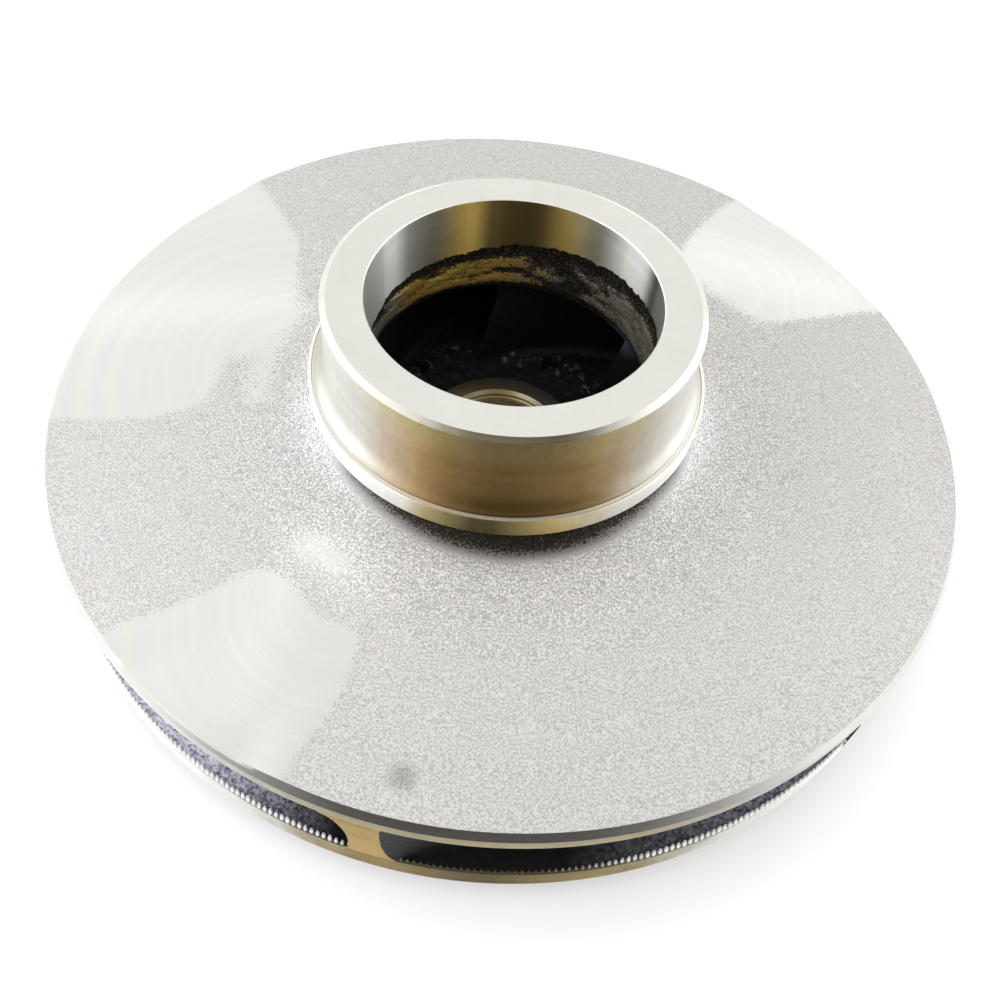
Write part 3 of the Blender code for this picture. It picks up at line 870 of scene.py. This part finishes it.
# Skimmed bore casting: black skin in the hollows, gold and grey streaks where the tool just touched.
# The tool's streaks run round the bore, so their pattern is squeezed along the shaft.
STREAK_WIDTH = 0.00091
STREAK_SQUEEZE = 5.5
STREAK_DEPTH = 0.0002
SPECK_SIZE = 0.000385
SKIMMED_R = (0.02514, 0.02526)

skimmed_bronze, tree, shader, place = new_finish("skimmed_bore_casting", 0.6)
split, _, radius = from_shaft(tree, place)
squeezed = add(tree, "VectorMath MULTIPLY", [place, (1, 1, STREAK_SQUEEZE)])
streaks = add(tree, "TexNoise",
              {"Vector": squeezed, "Scale": 1 / STREAK_WIDTH, "Detail": 7.0, "Roughness": 0.72})
specks = add(tree, "TexNoise", {"Vector": place, "Scale": 1 / SPECK_SIZE, "Detail": 2.0})
right_side = add(tree, "MapRange", [split["X"], -0.002, 0.010])
far_right = add(tree, "MapRange", [split["X"], 0.0150, 0.0215])
left_end = add(tree, "MapRange", [split["X"], -0.0175, -0.0215])
pale_ends = add(tree, "Math ADD", [right_side, left_end])
hollow = radius
for source, share in ((right_side, 0.00018), (far_right, -0.00022), (streaks, 0.0008), (specks, 0.0006)):
    hollow = add(tree, "Math MULTIPLY_ADD", [source, share, hollow])
skimmed = add(tree, "MapRange", [hollow, *SKIMMED_R, 1.0, 0.0])
dusty = add(tree, "MapRange", [specks, 0.50, 0.76])
skin = add(tree, "Mix RGBA", {0: dusty, 6: "#120F0C", 7: "#6A604E"})
gilt = add(tree, "Mix RGBA", {0: specks, 6: "#E2BE68", 7: "#8A6A24"})
scraped = add(tree, "Mix RGBA", {0: specks, 6: "#C2BCA8", 7: "#1E1B15"})
streaky = add(tree, "Mix RGBA", {0: pale_ends, 6: gilt, 7: scraped})
colour = add(tree, "Mix RGBA", {0: skimmed, 6: skin, 7: streaky})
gloss = add(tree, "MapRange", [skimmed, 0, 1, 0.6, 0.35])
bump = add(tree, "Bump", {"Height": streaks, "Strength": 0.6, "Distance": STREAK_DEPTH})
join(tree, shader, {"Base Color": colour, "Roughness": gloss, "Normal": bump})

BORED, SKIMMED, CHAMFER, LIP = 1, 2, 3, 4
lip_top = RING_FOOT + LIP_HEIGHT
cove_z = lip_top + COVE_R
profile = run((EYE_BORE_R + BAND_RECESS, RING_FOOT), (LIP_R - LIP_EDGE, RING_FOOT), 6, TURNED)
profile += run((LIP_R, RING_FOOT + LIP_EDGE), (LIP_R, lip_top - LIP_EDGE), 5, LIP)
profile += [(LIP_R - LIP_EDGE, lip_top, LIP), (LIP_R - LIP_LAND, lip_top, TURNED),
            (LIP_R - LIP_LAND - 0.0001, lip_top - GROOVE_DEPTH, TURNED),
            (LIP_R - LIP_LAND - GROOVE_WIDTH, lip_top - GROOVE_DEPTH / 2, TURNED)]
for step in range(COVE_STEPS + 1):
    angle = math.radians(COVE_START - COVE_TURN * step / COVE_STEPS)
    profile.append((LIP_R + COVE_R * math.cos(angle), cove_z + COVE_R * math.sin(angle), TURNED))
profile += run((RING_R, cove_z + 0.0002), (RING_R, EYE_TOP - RING_CHAMFER_HEIGHT), 12, TURNED)
profile[-1] = (*profile[-1][:2], CHAMFER)
profile += run((RING_R - RING_CHAMFER_WIDTH, EYE_TOP), (EYE_BORE_R + BORE_EDGE, EYE_TOP), 10, TURNED)
radii, heights, finishes = zip(*profile)
outer = rings(radii, heights, RING_AZIMUTHS)

turn = np.degrees(np.linspace(0, math.tau, RING_AZIMUTHS, endpoint=False))
turn = np.where(turn > 180, turn - 360, turn)
stop_z = np.interp(turn, *zip(*TOOL_STOP)) / 1000 + lumps(outer[0], *TOOL_STOP_SWELLS)
down = np.linspace(0, 1, BORE_ROWS)[:, None]
bore_z = (EYE_TOP - BORE_EDGE) * (1 - down) + stop_z * down
bore = rings(np.full(BORE_ROWS, EYE_BORE_R), bore_z, RING_AZIMUTHS)
down = np.linspace(0, 1, BAND_ROWS)[:, None]
band_z = (stop_z - BAND_STEP) * (1 - down) + (RING_FOOT - BAND_TUCK) * down
recess = np.interp(down, [0, 0.04, 0.22, 0.34, 0.85, 1], [0.3, 1, 1, 0, 0, 1])
recess = SKIM_RECESS + (BAND_RECESS - SKIM_RECESS) * recess
band = rings(EYE_BORE_R + recess + 0 * band_z, band_z, RING_AZIMUTHS)
swell = lumps(band * [1, 1, 3], *BAND_SWELLS)
band[..., :2] *= 1 + (swell * np.sin(np.pi * np.clip(down, 0.02, 0.98)) / EYE_BORE_R)[..., None]
points = np.concatenate([outer, bore, band])
finishes = list(finishes[:-1]) + [BORED] * BORE_ROWS + [SKIMMED] * (BAND_ROWS + 1)
eye_ring = closed_skin("suction_neck", points, finishes,
                       [neck_bronze, bored_bronze, skimmed_bronze, neck_edge_bronze, lip_bronze])
finish_mesh(eye_ring, 20)
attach(eye_ring, "root")
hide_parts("eye_ring")


# Edge burrs
# The row of small torn teeth along the slot's lower edge, thrown up from the cast floor when the
# rim was turned with an interrupted cut. They are part of the casting, and low at front and back.

BURR_PITCH = 0.00100
BURR_WIDTH = 0.00080
BURR_HEIGHT = 0.0015
BURR_INSET = 0.00002
BURR_TOP_SHARE = 0.6
BURR_LEAST = (0.85, 0.85, 0.75)
BURR_FRONT_WIDTH = 0.7
BURR_FRONT_SHARE = 0.32
BURR_GROWTH = (0.008, 0.024)
BURR_SEED = 7

# Torn burr bronze: brown at front and back, painted shade, and bright white toward the sides, a painted
# highlight.
torn_bronze = turned_metal(
    "torn_burr_bronze", gold=("#584E38", "#706248"), pale=("#F2F2EE", "#FCFCFA"),
    edge=("#584E38", "#706248"), gloss=(0.50, 0.60), side_sheen_from=(0.16, 0.42), metallic=0.25)

burr_values = {
    "Count": round(math.tau * RIM_R / BURR_PITCH),
    "Circle Radius": RIM_R - BURR_WIDTH / 2 - BURR_INSET,
    "Edge Height": PASSAGE_FLOOR - RIM_EDGE,
    "Burr Radius": BURR_WIDTH / 2,
    "Burr Height": BURR_HEIGHT,
    "Seed": BURR_SEED,
}
tree = bpy.data.node_groups.new("edge_burrs", "GeometryNodeTree")
tree.interface.new_socket("Geometry", in_out="OUTPUT", socket_type="NodeSocketGeometry")
burr_inputs = {}
for label, value in burr_values.items():
    kind = "NodeSocketInt" if isinstance(value, int) else "NodeSocketFloat"
    burr_inputs[label] = tree.interface.new_socket(label, in_out="INPUT", socket_type=kind)
given = add(tree, "GroupInput").outputs
circle = add(tree, "MeshCircle", {"Vertices": given["Count"], "Radius": given["Circle Radius"]})
tooth = add(tree, "MeshCone", {"Radius Bottom": given["Burr Radius"], "Depth": given["Burr Height"],
                               "Vertices": 6, "Radius Top": BURR_TOP_SHARE * BURR_WIDTH / 2})
outward = add(tree, "InputPosition")
aim = add(tree, "AlignRotationToVector", {"Vector": outward}, axis="X")
spread = add(tree, "RandomValue FLOAT_VECTOR",
             {"Min": BURR_LEAST, "Max": (1.0, 1.0, 1.0), "Seed": given["Seed"]})
sideways = add(tree, "SeparateXYZ", [outward]).outputs["X"]
off_front = add(tree, "Math ABSOLUTE", [sideways])
width = add(tree, "MapRange", [off_front, *BURR_GROWTH, BURR_FRONT_WIDTH])
height = add(tree, "MapRange", [off_front, *BURR_GROWTH, BURR_FRONT_SHARE])
shape = add(tree, "CombineXYZ", {"X": width, "Y": width, "Z": height})
size = add(tree, "VectorMath MULTIPLY", [spread, shape])
placed = add(tree, "InstanceOnPoints", {"Points": circle, "Instance": tooth, "Rotation": aim, "Scale": size})
lift = add(tree, "CombineXYZ", {"Z": given["Edge Height"]})
raised = add(tree, "Transform", {"Geometry": placed, "Translation": lift})
solid = add(tree, "RealizeInstances", {"Geometry": raised})
dressed = add(tree, "SetMaterial", {"Geometry": solid, "Material": torn_bronze})
add(tree, "GroupOutput", {"Geometry": dressed})

burrs = new_object("edge_burrs", bpy.data.meshes.new("edge_burrs"))
grower = burrs.modifiers.new("edge_burrs", "NODES")
grower.node_group = tree
for label, value in burr_values.items():
    grower[burr_inputs[label].identifier] = value
settle(burrs)
finish_mesh(burrs)
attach(burrs, "root")


# Studio
# A plain white floor under soft light from all round, with a dark screen on the camera's side, and
# a tall soft panel at each side that draws the bright columns on the neck.

FLOOR_HALF = 4.0
CLOUD_SIZE = 0.167
ROOM_LIGHT = 1.28
ROOM_TOP_LIGHT = ROOM_LIGHT * 1.04

# Each panel's direction, width and radiance, and whether it lights matt surfaces too.
PANELS = [((-0.93, 0.10, 0.50), 0.80, 1.8, True), ((0.86, 0.30, 0.42), 0.62, 1.4, False)]
PANEL_COLOUR = (0.90, 0.96, 1.10)
PANEL_DISTANCE = 0.9
PANEL_HEIGHT = 0.7
SCREEN_R = 0.118
SCREEN_MIDDLE = math.radians(11)
SCREEN_HALF_ANGLE = math.radians(68)
SCREEN_FOOT_MIDDLE = math.radians(-1)
SCREEN_FOOT_HALF_ANGLE = math.radians(53)
SCREEN_FOOT = (0.060, 0.015)
SCREEN_FLOOR_GAP = 0.005
SCREEN_TOP = math.radians(86)
SCREEN_CLEAR = math.radians(64)
SCREEN_COLUMNS = 48
SCREEN_ROWS = 24

floor_mesh = bpy.data.meshes.new("studio_floor")
bm = bmesh.new()
bmesh.ops.create_grid(bm, x_segments=8, y_segments=8, size=FLOOR_HALF)
bm.to_mesh(floor_mesh)
bm.free()
studio_floor = new_object("studio_floor", floor_mesh)

# Matt white paper: even, with the faintest cloudiness.
paper, tree, shader, place = new_finish("matt_white_paper", 0.0)
cloud = add(tree, "TexNoise", {"Vector": place, "Scale": 1 / CLOUD_SIZE})
white = add(tree, "Mix RGBA", {0: cloud, 6: "#F9F9F8", 7: "#FCFCFC"})
join(tree, shader, {"Base Color": white, "Roughness": 0.9, "Specular IOR Level": 0.1})
floor_mesh.materials.append(paper)

world = bpy.data.worlds.new("soft_studio")
bpy.context.scene.world = world
world.use_nodes = True
tree = world.node_tree
direction = add(tree, "SeparateXYZ", [add(tree, "TexCoord").outputs["Generated"]])
rise = add(tree, "MapRange", [direction.outputs["Z"], 0.0, 0.8])
glow = add(tree, "Mix RGBA", {0: rise, 6: (ROOM_LIGHT,) * 3 + (1,), 7: (ROOM_TOP_LIGHT,) * 3 + (1,)})
seen = add(tree, "Mix RGBA", {0: add(tree, "LightPath").outputs["Is Camera Ray"], 6: glow, 7: "#FFFFFF"})
join(tree, tree.nodes["Background"], {"Color": seen})

# The screen is a curved piece of dark felt that fades out at its ends and top. Only reflections see
# it, and it gives the bright metal its dark front.
screen_points, screen_faces = [], []
for row in range(SCREEN_ROWS + 1):
    for column in range(SCREEN_COLUMNS + 1):
        angle = SCREEN_MIDDLE + SCREEN_HALF_ANGLE * (2 * column / SCREEN_COLUMNS - 1)
        up = SCREEN_FLOOR_GAP + SCREEN_TOP * row / SCREEN_ROWS
        screen_points.append((SCREEN_R * math.sin(angle) * math.cos(up),
                              -SCREEN_R * math.cos(angle) * math.cos(up), SCREEN_R * math.sin(up)))
        if row and column:
            corner = row * (SCREEN_COLUMNS + 1) + column
            below = corner - SCREEN_COLUMNS - 1
            screen_faces.append((corner, corner - 1, below - 1, below))
screen_mesh = bpy.data.meshes.new("dark_screen")
screen_mesh.from_pydata(screen_points, [], screen_faces)
screen = new_object("dark_screen", screen_mesh)
for ray in ("camera", "diffuse", "transmission", "volume_scatter", "shadow"):
    setattr(screen, "visible_" + ray, False)

felt, tree, _, place = new_finish("black_felt", 0.0)
split, arm, _ = from_shaft(tree, place)
unit = add(tree, "VectorMath NORMALIZE", [arm])
covers = []
for middle, least, most in ((SCREEN_MIDDLE, SCREEN_HALF_ANGLE, SCREEN_HALF_ANGLE * 0.22),
                            (SCREEN_FOOT_MIDDLE, SCREEN_FOOT_HALF_ANGLE, 0.0)):
    facing = add(tree, "VectorMath DOT_PRODUCT", [unit, (math.sin(middle), -math.cos(middle), 0)])
    covers.append(add(tree, "MapRange SMOOTHSTEP", [facing, math.cos(least), math.cos(most)]))
lower = add(tree, "MapRange", [split["Z"], *SCREEN_FOOT])
cover = add(tree, "Mix", {0: lower, 2: covers[0], 3: covers[1]})
upward = add(tree, "MapRange SMOOTHSTEP",
             [split["Z"], SCREEN_R * math.sin(SCREEN_TOP), SCREEN_R * math.sin(SCREEN_CLEAR)])
cover = add(tree, "Math MULTIPLY", [cover, upward])
clear = add(tree, "BsdfTransparent")
dark = add(tree, "Emission", {"Color": "#55504C", "Strength": 1.0})
blend = add(tree, "MixShader", [cover, clear, dark])
join(tree, tree.nodes["Material Output"], {"Surface": blend})
screen_mesh.materials.append(felt)

for number, (direction, width, radiance, lights_matt) in enumerate(PANELS, 1):
    light = bpy.data.lights.new(f"side_panel_{number}", "AREA")
    light.shape = "RECTANGLE"
    light.size = width
    light.size_y = PANEL_HEIGHT
    light.color = PANEL_COLOUR
    light.energy = radiance * math.pi * width * PANEL_HEIGHT
    panel = new_object(light.name, light)
    aim = Vector(direction).normalized()
    panel.location = aim * PANEL_DISTANCE
    panel.rotation_euler = aim.to_track_quat("Z", "Y").to_euler()
    panel.visible_camera = False
    panel.visible_diffuse = lights_matt

# The camera stands where the photograph was taken from.
CAMERA_PLACE = Vector((-0.00731, -0.12557, 0.16159))
CAMERA_FORWARD = Vector((0.0, 0.5838, -0.8119))
CAMERA_RIGHT = Vector((0.9981, 0.0500, 0.0359))
FOCAL_LENGTH = 36.41
SENSOR_WIDTH = 36.0
LENS_SHIFT = (0.0460, 0.0291)
forward = CAMERA_FORWARD.normalized()
right = (CAMERA_RIGHT - forward * CAMERA_RIGHT.dot(forward)).normalized()
up = right.cross(forward)
lens = bpy.data.cameras.new("studio_camera")
lens.sensor_width = SENSOR_WIDTH
lens.lens = FOCAL_LENGTH
lens.shift_x, lens.shift_y = LENS_SHIFT
lens.clip_start = 0.005
camera = new_object("studio_camera", lens)
camera.matrix_world = Matrix.Translation(CAMERA_PLACE) @ Matrix((right, up, -forward)).transposed().to_4x4()
bpy.context.scene.camera = camera
bpy.context.scene.view_settings.view_transform = "Standard"
